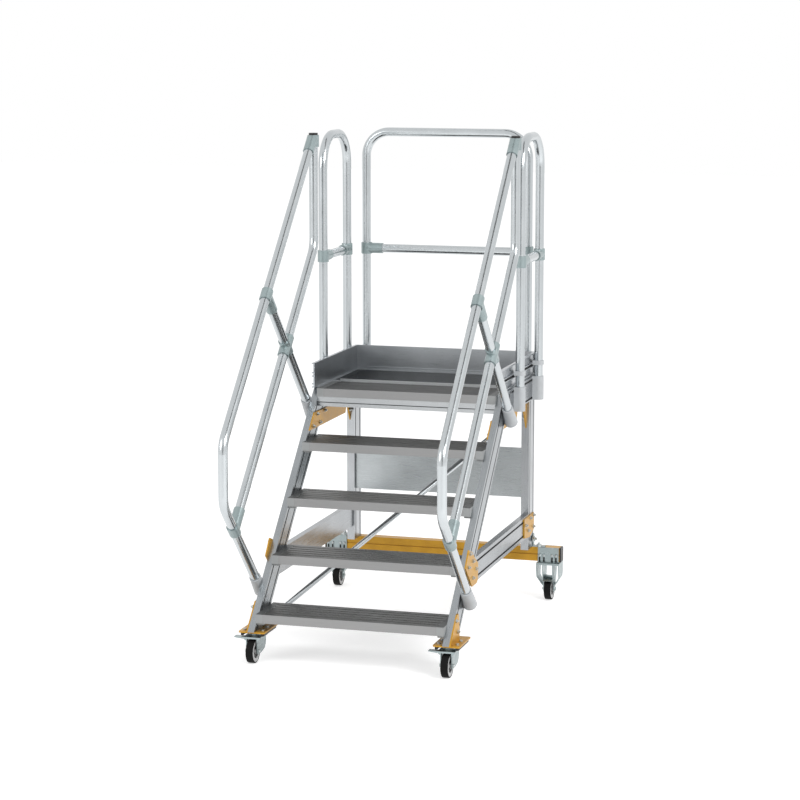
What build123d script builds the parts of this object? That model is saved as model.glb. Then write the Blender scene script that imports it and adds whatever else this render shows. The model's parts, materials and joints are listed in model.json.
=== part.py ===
"""Mobile platform stairs: a 45 degree aluminium stair with a railed platform on castors.

The origin is on the floor under the middle of the whole stair. +Z is up, the stair climbs
towards +Y and +X is to the right of someone who climbs it.
"""
import os
from math import atan2, cos, radians, sin

from build123d import *

# Stair
rise = 208.0
going = 208.0
step_count = 4
step_width = 813.0
step_depth = 226.0
tread_height = 37.0
tread_wall = 3.5
groove_count = 5
groove_gap = 12.0
groove_sink = 2.5
cap_width = 30.0
cap_skirt = 10.0
cap_setback = 14.0
nose_overhang = 50.0

# Profiles of the stringers, side beams and platform sides
profile_width = 28.0
profile_depth = 105.0
groove_width = 9.0
groove_depth = 4.0
groove_inset = 20.0
foot_height = 135.0

# Platform
platform_length = 660.0
platform_side_height = 102.0
deck_sheet = 6.0
joint_strip = 38.0
deck_border = 36.0
deck_seam = 2.0
deck_lip_height = 12.0
deck_lip_width = 8.0
front_beam_height = 44.0
front_beam_depth = 30.0
front_beam_groove = 26.0
toe_board_height = 110.0
toe_board_width = 6.0
toe_board_inset = 13.0
toe_board_front = 12.0
toe_board_fin = 8.0
fin_height = 4.0
rear_profile_depth = 40.0
deck_rib = 12.0
fin_places = (0.0, 14.0, 49.0, 64.0, 106.0)

# Posts, panel and beams under the platform
post_width = 36.0
post_depth = 104.0
post_front = 132.0
panel_thickness = 4.0
panel_height = 230.0
panel_bottom = 490.0
beam_overhang = 135.5
beam_inset = 22.0
beam_depth = 49.0
beam_height = 66.0
beam_bottom = 182.0
beam_cap = 8.0
beam_groove = 5.0
side_beam_bottom = 313.0
side_beam_height = 104.0
plate_thickness = 6.0
bracket_thickness = 5.0
bracket_reach = 60.0
gusset_drop = 69.0
gusset_reach = 416.0
gusset_slant = 32.0
post_gusset_height = 123.0
post_gusset_bend = (50.0, 39.0)
post_gusset_reach = 82.0
front_plate_corners = (
    (118.0, 163.0), (177.0, 141.0), (215.0, 110.0), (271.0, 77.0),
    (268.0, 7.0), (247.0, -5.0), (175.0, -5.0), (65.0, 96.0),
)
rear_plate_corners = (
    (-101.0, 97.0), (-98.0, 10.0), (-86.0, 8.0), (2.0, -4.0), (88.0, 20.0), (88.0, 97.0),
)
brace_radius = 11.0
brace_clearance = 8.0
brace_low_y = 228.0
brace_high_y = 958.0
lug_thickness = 5.0
lug_length = 90.0
lug_gap = 2.0

# Rails
tube_radius = 20.0
bend_radius = 100.0
seat_clearance = 0.2
rail_offset = 25.5
guard_offset = 22.0
handrail_rise = 980.0
knee_rise = 484.0
handrail_reach = 225.0
handrail_top_y = 962.0
leg_foot_y = 198.0
strut_foot_y = 872.0
strut_sink = 25.0
clamp_wall = 5.0
clamp_length = 52.0
clamp_reach = 100.0
cross_clamp_reach = 52.0
cross_clamp_branch = 40.0
socket_length = 112.0
socket_foot_radius = 29.0
socket_foot_reach = 40.0
plug_height = 9.0
guard_height = 1100.0
guard_front_y = 1085.0
guard_spacing = 356.0
guard_bend = 140.0
back_guard_inset = 49.5
back_guard_bend = 110.0
guard_knee_height = 562.0
guard_clamp_reach = 78.0
guard_socket_height = 108.0
guard_socket_wall = 4.5
guard_seat = 10.0
collar_height = 20.0
collar_lift = 58.0

# Castors
wheel_radius = 50.0
wheel_width = 32.0
tyre_depth = 5.0
tyre_edge = 3.5
rim_bore = 30.0
rim_inset = 1.0
hub_overhang = 0.5
hub_recess = 8.0
hub_boss_radius = 11.0
axle_radius = 6.0
axle_overhang = 3.0
pin_gap = 0.06
running_gap = 5.0
fork_wall = 4.0
castor_trail = 45.0
swivel_y = 48.0
head_half = 38.0
head_corner = 8.0
head_plate = 4.0
head_cheek = 3.0
head_cheek_length = 52.0
pad_gap = 1.0
race_radius = 28.0
race_gap = 0.3
fork_boss_radius = 30.0
crown_wing = 12.5
crown_side = 5.0
crown_shoulder = (8.5, 11.0)
crown_root = 16.0
leg_foot_radius = 13.0
leg_front = 15.0
leg_rear = ((47.0, 0.0), (52.0, 30.0), (46.0, 50.0), (30.0, 66.0))
leg_toe = 10.0
kingpin_radius = 8.0
base_plate_width = 115.0
base_plate_front = 15.0
base_plate_length = 183.0
plate_corner = 8.0
ear_height = 108.0
ear_front = 26.0
ear_shoulder = 66.0
ear_lean = 80.0
pad_height = 12.0
pad_inset = 6.0
pad_corner = 10.0
lever_reach = 76.0
lever_root = 8.0
lever_thickness = 3.5
lever_plate = 4.0
lever_width = 28.0
rear_wheel_inset = 59.0
saddle_width = 98.0
saddle_height = 66.0
saddle_wall = 5.0
saddle_corner = 9.0
rear_fork_plate = 9.0
rear_fork_corners = ((28.5, 59.0), (9.5, 27.0), (0.0, 14.0))
rear_pocket_corners = ((24.5, 60.0), (6.0, 29.0), (0.0, 21.0))
rear_fork_depth = 88.0
rear_leg_half = 14.0
rear_taper = 40.0
arch_gap = 10.0
arch_wall = 4.0
arch_half_angle = 47.0

# Places worked out from the sizes above
slope = rise / going
angle = atan2(rise, going)
half_step = step_width / 2
platform_z = rise * (step_count + 1)
rail_bore = tube_radius + seat_clearance
clamp_radius = rail_bore + clamp_wall
branch_radius = clamp_radius - 1.0
socket_half = tube_radius + guard_socket_wall
groove_pitch = step_depth / (groove_count + 1)
foot_gap = tube_radius + 2.0
front_reach = handrail_reach + tube_radius
platform_front_offset = going * step_count
rear_reach = platform_front_offset + platform_length + rail_offset + clamp_radius
nose_y = (front_reach - rear_reach) / 2
platform_front = nose_y + platform_front_offset
platform_rear = platform_front + platform_length
profile_outer = half_step + profile_width
profile_centre = half_step + profile_width / 2
rail_x = profile_outer + rail_offset
guard_x = profile_outer + guard_offset
back_guard_half = profile_outer - back_guard_inset
beam_length = 2 * (profile_outer + beam_overhang)
rear_wheel_x = beam_length / 2 - rear_wheel_inset
side_bottom = platform_z - platform_side_height
post_y = platform_rear - post_front
beam_y = post_y + post_depth - beam_inset
beam_top = beam_bottom + beam_height
rear_wheel_y = beam_y + beam_depth / 2
along = Vector(0, cos(angle), sin(angle))
across = Vector(0, -sin(angle), cos(angle))
os.makedirs("parts", exist_ok=True)


def front_line(y):
    """Height of the stringers' front face at y."""
    return rise + slope * (y - nose_y - nose_overhang)


def front_line_y(z):
    """Place of the stringers' front face at height z."""
    return nose_y + nose_overhang + (z - rise) / slope


def rear_line_y(z):
    """Place of the stringers' rear face at height z."""
    return front_line_y(z) + profile_depth / sin(angle)


def centre_line(y):
    """Height of the stringers' centre line at y."""
    return front_line(y) - profile_depth / 2 / cos(angle)


def rail_point(y, height):
    """Point of a rail that runs at this height above the step noses."""
    return Vector(0, y, rise + slope * (y - nose_y) + height)


def foot_point(foot_offset):
    """Point on the stringers' centre line, this far behind the first nose."""
    y = nose_y + foot_offset
    return Vector(0, y, centre_line(y))


def cross_point(foot_offset, height):
    """Where the square line from a foot point meets a rail at this height above the noses."""
    foot = foot_point(foot_offset)
    start = rail_point(foot.Y, height)
    return foot + across * (start - foot).dot(across)


def at_x(point, x):
    """The same point, moved to x."""
    return Vector(x, point.Y, point.Z)


def slab(x_low):
    """Plane that faces +X with its sketch axes along Y and Z."""
    return Plane.YZ.offset(x_low)


def low_x(side, inner, width):
    """Lower X of a slab whose inner face lies at this distance from the middle."""
    return inner if side > 0 else -inner - width


def rod(start, end, radius, mode=Mode.ADD):
    """Round bar between two points."""
    with BuildSketch(Plane(origin=start, z_dir=end - start)) as section:
        Circle(radius)
    extrude(section.sketch, amount=(end - start).length, mode=mode)


def bent_rod(points, radii):
    """Round tube outline along straight runs and arcs."""
    with BuildLine() as route:
        FilletPolyline(*points, radius=radii)
    with BuildSketch(Plane(origin=route.line @ 0, z_dir=route.line % 0)) as section:
        Circle(tube_radius)
    sweep(section.sketch, path=route.line)


def tee(centre, through, half_length, branches, reach):
    """Pipe clamp: a sleeve along one tube with sockets for the tubes that end there."""
    half = through * half_length
    rod(centre - half, centre + half, clamp_radius)
    for branch in branches:
        rod(centre, centre + branch * reach, branch_radius)
    rod(centre - half, centre + half, rail_bore, Mode.SUBTRACT)
    for branch in branches:
        rod(centre + branch * (foot_gap - seat_clearance), centre + branch * reach, rail_bore, Mode.SUBTRACT)


def save(piece, label):
    """Names a finished piece and writes it."""
    piece.part.label = label
    export_step(piece.part, f"parts/{label}.step")


sides = (("left", -1), ("right", 1))
up = Vector(0, 0, 1)
back = Vector(0, 1, 0)

# Stringers
for side_name, side in sides:
    low = low_x(side, half_step, profile_width)
    with BuildPart() as stringer:
        with BuildSketch(slab(low)):
            with BuildLine():
                Polyline(
                    (front_line_y(foot_height), foot_height),
                    (rear_line_y(foot_height), foot_height),
                    (rear_line_y(platform_z), platform_z),
                    (front_line_y(platform_z), platform_z),
                    close=True,
                )
            make_face()
        extrude(amount=profile_width)
        for inset in (groove_inset, profile_depth - groove_inset):
            shift = inset / sin(angle)
            half = groove_width / 2 / sin(angle)
            for face_x in (low, low + profile_width - groove_depth):
                with BuildSketch(slab(face_x)):
                    with BuildLine():
                        Polyline(
                            (front_line_y(foot_height) + shift - half, foot_height),
                            (front_line_y(foot_height) + shift + half, foot_height),
                            (front_line_y(platform_z) + shift + half, platform_z),
                            (front_line_y(platform_z) + shift - half, platform_z),
                            close=True,
                        )
                    make_face()
                extrude(amount=groove_depth, mode=Mode.SUBTRACT)
    save(stringer, f"stringer_{side_name}")


def tread(nose, top, label):
    """Grooved hollow plank with its nose at this place and its top at this height."""
    length = step_width - 2 * cap_width - 2 * seat_clearance
    middle = (nose + step_depth / 2, top - tread_height / 2)
    cell = (step_depth - 4 * tread_wall) / 3
    with BuildPart() as plank:
        with BuildSketch(slab(-length / 2)):
            with Locations(middle):
                Rectangle(step_depth, tread_height)
                with GridLocations(cell + tread_wall, 1, 3, 1):
                    Rectangle(cell, tread_height - 2 * tread_wall - groove_sink, mode=Mode.SUBTRACT)
            with Locations((middle[0], top - groove_sink / 2)):
                with GridLocations(groove_pitch, 1, groove_count, 1):
                    Rectangle(groove_gap, groove_sink, mode=Mode.SUBTRACT)
        extrude(amount=length)
    save(plank, label)


for number in range(1, step_count + 1):
    tread(nose_y + (number - 1) * going, number * rise, f"step_{number}")
tread(platform_front, platform_z, "platform_front_tread")

with BuildPart() as tread_caps:
    for number in range(1, step_count + 2):
        nose = nose_y + (number - 1) * going
        for side_name, side in sides:
            with BuildSketch(slab(low_x(side, half_step - cap_width, cap_width))):
                with Locations((nose + step_depth / 2, number * rise - tread_height / 2)):
                    Rectangle(step_depth, tread_height)
                if number <= step_count:
                    with Locations((nose + step_depth / 2, number * rise - tread_height)):
                        Rectangle(step_depth - 2 * cap_setback, cap_skirt, align=(Align.CENTER, Align.MAX))
            extrude(amount=cap_width)
save(tread_caps, "tread_caps")

# Platform
deck_front = platform_front + step_depth
with BuildPart() as deck_strip:
    with BuildSketch(Plane.XY.offset(platform_z - tread_height)):
        with Locations((0, deck_front + joint_strip / 2)):
            Rectangle(step_width, joint_strip)
    extrude(amount=tread_height)
    with BuildSketch(Plane.XY.offset(platform_z)):
        with Locations((0, deck_front + deck_lip_width / 2)):
            Rectangle(step_width - 2 * deck_border, deck_lip_width)
    extrude(amount=deck_lip_height)
save(deck_strip, "deck_joint_strip")

deck_length = platform_rear - toe_board_inset - rear_profile_depth - deck_front - joint_strip
with BuildPart() as deck:
    with BuildSketch(Plane.XY.offset(platform_z - deck_sheet)):
        with Locations((0, deck_front + joint_strip + deck_length / 2)):
            Rectangle(step_width, deck_length)
    extrude(amount=deck_sheet)
    with BuildSketch(Plane.XY.offset(platform_z - tread_height)):
        with Locations((0, deck_front + joint_strip + deck_length / 2)):
            with GridLocations(1, deck_length / 3, 1, 2):
                Rectangle(step_width, deck_rib)
    extrude(amount=tread_height - deck_sheet)
    with BuildSketch(Plane.XY.offset(platform_z - deck_seam)):
        with Locations((0, deck_front + joint_strip + deck_length / 2)):
            with GridLocations(step_width - 2 * deck_border, 1, 2, 1):
                Rectangle(deck_seam, deck_length)
    extrude(amount=deck_seam, mode=Mode.SUBTRACT)
save(deck, "deck")

with BuildPart() as rear_profile:
    with BuildSketch(Plane.XY.offset(side_bottom)):
        with Locations((0, platform_rear - toe_board_inset - rear_profile_depth / 2)):
            Rectangle(step_width, rear_profile_depth)
    extrude(amount=platform_side_height)
save(rear_profile, "platform_rear_profile")

front_beam_front = platform_front + toe_board_front
with BuildPart() as front_beam:
    with BuildSketch(slab(-half_step)):
        with Locations((front_beam_front + front_beam_depth / 2, platform_z - tread_height)):
            Rectangle(front_beam_depth, front_beam_height, align=(Align.CENTER, Align.MAX))
        with Locations((front_beam_front, platform_z - tread_height - front_beam_groove)):
            Rectangle(2 * groove_depth, groove_depth, mode=Mode.SUBTRACT)
    extrude(amount=step_width)
save(front_beam, "platform_front_beam")

for side_name, side in sides:
    low = low_x(side, half_step, profile_width)
    outer = low + profile_width - groove_depth if side > 0 else low
    with BuildPart() as side_profile:
        with BuildSketch(slab(low)):
            with BuildLine():
                Polyline(
                    (rear_line_y(side_bottom), side_bottom),
                    (platform_rear - toe_board_inset, side_bottom),
                    (platform_rear - toe_board_inset, platform_z),
                    (rear_line_y(platform_z), platform_z),
                    close=True,
                )
            make_face()
        extrude(amount=profile_width)
        for height in (groove_inset / 2, platform_side_height - groove_inset / 2):
            with BuildSketch(slab(outer)):
                with Locations((platform_rear, side_bottom + height)):
                    Rectangle(2 * platform_length, groove_width)
            extrude(amount=groove_depth, mode=Mode.SUBTRACT)
    save(side_profile, f"platform_side_{side_name}")

for side_name, side in sides:
    inner = profile_outer - toe_board_width - toe_board_fin
    low = low_x(side, inner, toe_board_width)
    fin_low = low_x(side, inner + toe_board_width, toe_board_fin)
    front = platform_front + toe_board_front
    length = platform_rear - toe_board_inset - front
    with BuildPart() as toe_board:
        with BuildSketch(slab(low)):
            with Locations((front + length / 2, platform_z + toe_board_height / 2)):
                Rectangle(length, toe_board_height)
        extrude(amount=toe_board_width)
        with BuildSketch(slab(fin_low)):
            for place in fin_places:
                with Locations((front + length / 2, platform_z + place)):
                    Rectangle(length, fin_height, align=(Align.CENTER, Align.MIN))
        extrude(amount=toe_board_fin)
    save(toe_board, f"toe_board_{side_name}")

with BuildPart() as toe_board_rear:
    with BuildSketch(slab(-profile_outer)):
        with Locations((platform_rear - toe_board_inset / 2, platform_z + toe_board_height / 2)):
            Rectangle(toe_board_inset - 2 * seat_clearance, toe_board_height)
        with Locations((platform_rear - toe_board_inset / 2, platform_z)):
            Rectangle(
                toe_board_inset - 2 * seat_clearance, platform_side_height / 2, align=(Align.CENTER, Align.MAX)
            )
    extrude(amount=2 * profile_outer)
    with BuildSketch(Plane.XY.offset(platform_z)):
        with Locations((0, platform_rear - toe_board_inset + seat_clearance)):
            Rectangle(step_width - 2 * deck_border, deck_lip_width, align=(Align.CENTER, Align.MAX))
    extrude(amount=deck_lip_height)
save(toe_board_rear, "toe_board_rear")

# Gussets between the stringers and the platform, and between the posts and the platform
gusset_bottom = side_bottom - gusset_drop
gusset_rear = platform_front + gusset_reach
with BuildPart() as gussets:
    for side_name, side in sides:
        with BuildSketch(slab(low_x(side, half_step - plate_thickness, plate_thickness))):
            with BuildLine():
                Polyline(
                    (front_line_y(gusset_bottom), gusset_bottom),
                    (gusset_rear - gusset_slant / 2, gusset_bottom),
                    (gusset_rear, gusset_bottom + gusset_slant),
                    (gusset_rear, side_bottom),
                    (front_line_y(side_bottom), side_bottom),
                    close=True,
                )
            make_face()
        extrude(amount=plate_thickness)
        with BuildSketch(slab(low_x(side, profile_outer - post_width / 2, plate_thickness))):
            with BuildLine():
                Polyline(
                    (post_y, side_bottom - post_gusset_height),
                    (post_y, side_bottom),
                    (post_y - post_gusset_reach, side_bottom),
                    (post_y - post_gusset_bend[0], side_bottom - post_gusset_bend[1]),
                    close=True,
                )
            make_face()
        extrude(amount=plate_thickness)
save(gussets, "platform_gussets")

# Posts, stiffening panel and beams
for side_name, side in sides:
    low = low_x(side, profile_outer - post_width, post_width)
    with BuildPart() as post:
        with BuildSketch(Plane.XY.offset(beam_top)):
            with Locations((low + post_width / 2, post_y + post_depth / 2)):
                Rectangle(post_width, post_depth)
            for inset in (groove_inset, post_depth - groove_inset):
                for face_x in (low, low + post_width):
                    with Locations((face_x, post_y + inset)):
                        Rectangle(2 * groove_depth, groove_width, mode=Mode.SUBTRACT)
        extrude(amount=side_bottom - beam_top)
    save(post, f"rear_post_{side_name}")

panel_width = 2 * (profile_outer - post_width + groove_depth - seat_clearance)
with BuildPart() as panel:
    with BuildSketch(Plane.XZ.offset(-post_y - groove_inset + panel_thickness / 2)):
        with Locations((0, panel_bottom + panel_height / 2)):
            Rectangle(panel_width, panel_height)
    extrude(amount=-panel_thickness)
save(panel, "rear_panel")

with BuildPart() as cross_beam:
    with BuildSketch(slab(-beam_length / 2 + beam_cap)):
        with Locations((beam_y + beam_depth / 2, beam_bottom + beam_height / 2)):
            Rectangle(beam_depth, beam_height)
            with GridLocations(beam_depth, 1, 2, 1):
                Rectangle(2 * beam_groove, beam_groove, mode=Mode.SUBTRACT)
    extrude(amount=beam_length - 2 * beam_cap)
save(cross_beam, "cross_beam")

with BuildPart() as beam_caps:
    for side_name, side in sides:
        with BuildSketch(slab(low_x(side, beam_length / 2 - beam_cap, beam_cap))):
            with Locations((beam_y + beam_depth / 2, beam_bottom + beam_height / 2)):
                Rectangle(beam_depth, beam_height)
        extrude(amount=beam_cap)
save(beam_caps, "cross_beam_caps")

side_beam_top = side_beam_bottom + side_beam_height
for side_name, side in sides:
    low = low_x(side, half_step, profile_width)
    outer = low + profile_width - groove_depth if side > 0 else low
    with BuildPart() as side_beam:
        with BuildSketch(slab(low)):
            with BuildLine():
                Polyline(
                    (rear_line_y(side_beam_bottom), side_beam_bottom),
                    (post_y, side_beam_bottom),
                    (post_y, side_beam_top),
                    (rear_line_y(side_beam_top), side_beam_top),
                    close=True,
                )
            make_face()
        extrude(amount=profile_width)
        for inset in (groove_inset, side_beam_height - groove_inset):
            with BuildSketch(slab(outer)):
                with Locations((post_y, side_beam_bottom + inset)):
                    Rectangle(4 * platform_length, groove_width)
            extrude(amount=groove_depth, mode=Mode.SUBTRACT)
    save(side_beam, f"side_beam_{side_name}")

with BuildPart() as joint_plates:
    for side_name, side in sides:
        with BuildSketch(slab(low_x(side, profile_outer, plate_thickness))):
            for start, corners in (
                (front_line_y(side_beam_bottom), front_plate_corners),
                (post_y, rear_plate_corners),
            ):
                with BuildLine():
                    Polyline(*[(start + y, side_beam_bottom + z) for y, z in corners], close=True)
                make_face()
        extrude(amount=plate_thickness)
save(joint_plates, "side_joint_plates")

with BuildPart() as post_brackets:
    for side_name, side in sides:
        with BuildSketch(Plane.XZ.offset(-beam_y)):
            with BuildLine():
                Polyline(
                    (side * profile_outer, beam_top),
                    (side * (profile_outer + bracket_reach), beam_top),
                    (side * (profile_outer + bracket_reach), beam_top + bracket_thickness),
                    (side * (profile_outer + bracket_thickness), beam_top + bracket_thickness),
                    (side * (profile_outer + bracket_thickness), side_beam_bottom - bracket_thickness),
                    (side * profile_outer, side_beam_bottom - bracket_thickness),
                    close=True,
                )
            make_face()
        extrude(amount=-(post_y + post_depth - beam_y))
save(post_brackets, "post_brackets")

# Diagonal brace behind the steps, from a lug on the left stringer to the right gusset
brace_drop = step_depth + tread_height + brace_clearance + brace_radius / sin(angle) - rise


def brace_point(x, offset):
    """Point of the brace's line, this far behind the first nose."""
    return Vector(x, nose_y + offset, slope * offset - brace_drop)


brace_low = brace_point(-half_step, brace_low_y)
brace_high = brace_point(half_step, brace_high_y)
brace_run = (brace_high - brace_low).normalized() * (2 * brace_radius)
with BuildPart() as brace:
    rod(brace_low - brace_run, brace_high + brace_run, brace_radius)
    split(bisect_by=Plane.YZ.offset(half_step - plate_thickness), keep=Keep.BOTTOM)
    split(bisect_by=Plane.YZ.offset(lug_thickness - half_step), keep=Keep.TOP)
    lug_top = rise - tread_height - cap_skirt - lug_gap
    lug_height = lug_top - foot_height - lug_gap
    lug_z = lug_top - lug_height / 2
    with BuildSketch(slab(-half_step)):
        with Locations((rear_line_y(lug_z), lug_z)):
            Rectangle(lug_length / 2, lug_height, align=(Align.MAX, Align.CENTER))
        with Locations((brace_low.Y, lug_z)):
            Circle(lug_height / 2)
        with Locations(((rear_line_y(lug_z) + brace_low.Y) / 2, lug_z)):
            Rectangle(brace_low.Y - rear_line_y(lug_z), lug_height)
    extrude(amount=lug_thickness)
save(brace, "diagonal_brace")

# Handrails
leg_foot = foot_point(leg_foot_y)
strut_foot = foot_point(strut_foot_y) - across * strut_sink
leg_y = nose_y - handrail_reach
top_y = nose_y + handrail_top_y
rail_top = rail_point(top_y, handrail_rise)
rail_turn = rail_point(leg_y, handrail_rise)
leg_turn = Vector(0, leg_y, leg_foot.Z + (leg_foot.Y - leg_y) / slope)
knee_turn = rail_point(top_y, knee_rise)
knee_low = cross_point(leg_foot_y, knee_rise)
strut_top = cross_point(strut_foot_y, handrail_rise)
strut_middle = cross_point(strut_foot_y, knee_rise)
top_gap = (tube_radius * (1 + sin(angle)) + 1.0) / cos(angle)
for side_name, side in sides:
    x = side * rail_x
    with BuildPart() as handrail:
        bent_rod(
            [at_x(rail_top - along * top_gap, x), at_x(rail_turn, x), at_x(leg_turn, x), at_x(leg_foot, x)],
            [bend_radius, bend_radius],
        )
    save(handrail, f"handrail_{side_name}")
    with BuildPart() as knee_rail:
        bent_rod(
            [at_x(rail_top, x), at_x(knee_turn, x), at_x(knee_low + along * foot_gap, x)],
            [bend_radius],
        )
    save(knee_rail, f"knee_rail_{side_name}")

with BuildPart() as struts:
    for side_name, side in sides:
        x = side * rail_x
        rod(at_x(strut_top - across * foot_gap, x), at_x(strut_middle + across * foot_gap, x), tube_radius)
        rod(at_x(strut_middle - across * foot_gap, x), at_x(strut_foot, x), tube_radius)
save(struts, "handrail_struts")

with BuildPart() as handrail_clamps:
    for side_name, side in sides:
        x = side * rail_x
        tee(at_x(strut_middle, x), along, cross_clamp_reach, [across, across * -1], cross_clamp_branch)
        tee(at_x(knee_low, x), across, clamp_length / 2, [along], clamp_reach)
        tee(at_x(strut_top, x), along, clamp_length / 2, [across * -1], clamp_reach)
        top = at_x(rail_top, x)
        rod(top - up * clamp_length, top, clamp_radius)
        rod(top - along * clamp_reach, top, branch_radius)
        rod(top - up * 2 * clamp_length, top + up * clamp_length, rail_bore, Mode.SUBTRACT)
        socket = top - along * (top_gap - seat_clearance)
        rod(socket, top - along * clamp_reach, rail_bore, Mode.SUBTRACT)
    split(bisect_by=Plane.XY.offset(rail_top.Z), keep=Keep.BOTTOM)
save(handrail_clamps, "handrail_clamps")

with BuildPart() as plugs:
    for side_name, side in sides:
        rod(at_x(rail_top, side * rail_x), at_x(rail_top + up * plug_height, side * rail_x), tube_radius)
save(plugs, "handrail_plugs")

with BuildPart() as handrail_sockets:
    for side_name, side in sides:
        x = side * rail_x
        for foot in (leg_foot, strut_foot):
            start = at_x(foot + across * (socket_length - socket_foot_reach), x)
            end = at_x(foot - across * socket_foot_reach, x)
            with BuildSketch(Plane(origin=end, z_dir=across)):
                Circle(socket_foot_radius - 6.0)
            with BuildSketch(Plane(origin=end + across * 6.0, z_dir=across)):
                Circle(socket_foot_radius)
            loft()
            with BuildSketch(Plane(origin=end + across * 6.0, z_dir=across)):
                Circle(socket_foot_radius)
            with BuildSketch(Plane(origin=start, z_dir=across)):
                Circle(branch_radius)
            loft()
            rod(at_x(foot, x), start, rail_bore, Mode.SUBTRACT)
    with Locations((0, platform_rear, 0)):
        Box(2 * profile_outer, 4 * platform_rear, 4 * platform_z, mode=Mode.SUBTRACT)
save(handrail_sockets, "handrail_sockets")

# Guard rails round the platform
guard_y = nose_y + guard_front_y
guard_top = platform_z + guard_height
guard_low = side_bottom + guard_seat
guard_knee = platform_z + guard_knee_height
back_y = platform_rear + rail_offset
for side_name, side in sides:
    x = side * guard_x
    with BuildPart() as hoop:
        bent_rod(
            [
                Vector(x, guard_y, guard_low),
                Vector(x, guard_y, guard_top),
                Vector(x, guard_y + guard_spacing, guard_top),
                Vector(x, guard_y + guard_spacing, guard_low),
            ],
            [guard_bend, guard_bend],
        )
    save(hoop, f"guard_hoop_{side_name}")

with BuildPart() as back_hoop:
    bent_rod(
        [
            Vector(-back_guard_half, back_y, guard_low),
            Vector(-back_guard_half, back_y, guard_top),
            Vector(back_guard_half, back_y, guard_top),
            Vector(back_guard_half, back_y, guard_low),
        ],
        [back_guard_bend, back_guard_bend],
    )
save(back_hoop, "guard_hoop_back")

with BuildPart() as guard_knee_rails:
    for side_name, side in sides:
        x = side * guard_x
        rod(
            Vector(x, guard_y + foot_gap, guard_knee),
            Vector(x, guard_y + guard_spacing - foot_gap, guard_knee),
            tube_radius,
        )
    rod(
        Vector(-back_guard_half + foot_gap, back_y, guard_knee),
        Vector(back_guard_half - foot_gap, back_y, guard_knee),
        tube_radius,
    )
save(guard_knee_rails, "guard_knee_rails")

with BuildPart() as guard_clamps:
    for side_name, side in sides:
        x = side * guard_x
        inward = Vector(-side, 0, 0)
        tee(Vector(x, guard_y, guard_knee), up, clamp_length / 2, [back], guard_clamp_reach)
        tee(Vector(x, guard_y + guard_spacing, guard_knee), up, clamp_length / 2, [back * -1], guard_clamp_reach)
        tee(Vector(side * back_guard_half, back_y, guard_knee), up, clamp_length / 2, [inward], guard_clamp_reach)
save(guard_clamps, "guard_clamps")

with BuildPart() as guard_sockets:
    for side_name, side in sides:
        x = side * guard_x
        for y in (guard_y, guard_y + guard_spacing):
            post_place = Vector(x, y, guard_low)
            for bottom, height in (
                (side_bottom, guard_socket_height),
                (platform_z + collar_lift, collar_height),
            ):
                with BuildSketch(Plane.XY.offset(bottom)):
                    with Locations((x, y)):
                        Circle(socket_half)
                    with Locations((side * (profile_outer + guard_x) / 2, y)):
                        Rectangle(guard_x - profile_outer, 2 * socket_half)
                extrude(amount=height)
            rod(post_place, post_place + up * guard_height, rail_bore, Mode.SUBTRACT)
        for bottom, height in (
            (side_bottom, guard_socket_height),
            (platform_z + collar_lift, collar_height),
        ):
            with BuildSketch(Plane.XY.offset(bottom)):
                with Locations((side * back_guard_half, back_y)):
                    Circle(socket_half)
                with Locations((side * back_guard_half, (platform_rear + back_y) / 2)):
                    Rectangle(2 * socket_half, rail_offset)
            extrude(amount=height)
        post_place = Vector(side * back_guard_half, back_y, guard_low)
        rod(post_place, post_place + up * guard_height, rail_bore, Mode.SUBTRACT)
    with Locations((0, platform_rear / 2, platform_z)):
        Box(2 * profile_outer, platform_rear, platform_z, mode=Mode.SUBTRACT)
save(guard_sockets, "guard_sockets")

# Front castors: base plates, buffer pads, swivel heads, forks with brake levers
plate_bottom = foot_height - plate_thickness
pad_bottom = plate_bottom - pad_height
plate_low_y = nose_y - base_plate_front
axis_y = nose_y + swivel_y
axle_y = axis_y - castor_trail
half_hub = wheel_width / 2 + hub_overhang
leg_inner = half_hub + running_gap
leg_outer = leg_inner + fork_wall
crown_half = leg_outer + crown_wing
shoulder_half = leg_outer + crown_shoulder[0]
crown_bottom = 2 * wheel_radius + running_gap
crown_top = pad_bottom - running_gap
with BuildPart() as base_plates:
    for side_name, side in sides:
        with BuildSketch(Plane.XY.offset(plate_bottom)):
            with Locations((side * profile_centre, plate_low_y + base_plate_length / 2)):
                RectangleRounded(base_plate_width, base_plate_length, plate_corner)
        extrude(amount=plate_thickness)
        with BuildSketch(slab(low_x(side, profile_outer, plate_thickness))):
            with BuildLine():
                Polyline(
                    (front_line_y(foot_height), foot_height),
                    (rear_line_y(foot_height), foot_height),
                    (front_line_y(foot_height + ear_shoulder) + ear_lean, foot_height + ear_shoulder),
                    (front_line_y(foot_height + ear_height) + ear_front, foot_height + ear_height),
                    (front_line_y(foot_height + ear_height), foot_height + ear_height),
                    close=True,
                )
            make_face()
        extrude(amount=plate_thickness)
save(base_plates, "castor_base_plates")

head_room = 2 * (head_half + pad_gap)
with BuildPart() as pads:
    for side_name, side in sides:
        with BuildSketch(Plane.XY.offset(pad_bottom)):
            with Locations((side * profile_centre, plate_low_y + base_plate_length / 2)):
                RectangleRounded(base_plate_width - 2 * pad_inset, base_plate_length - 2 * pad_inset, pad_corner)
            with Locations((side * profile_centre, axis_y)):
                Rectangle(head_room, head_room, mode=Mode.SUBTRACT)
            with Locations((side * profile_centre, axis_y - head_half)):
                Rectangle(head_room, head_room, mode=Mode.SUBTRACT)
        extrude(amount=pad_height)
save(pads, "buffer_pads")

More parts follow.
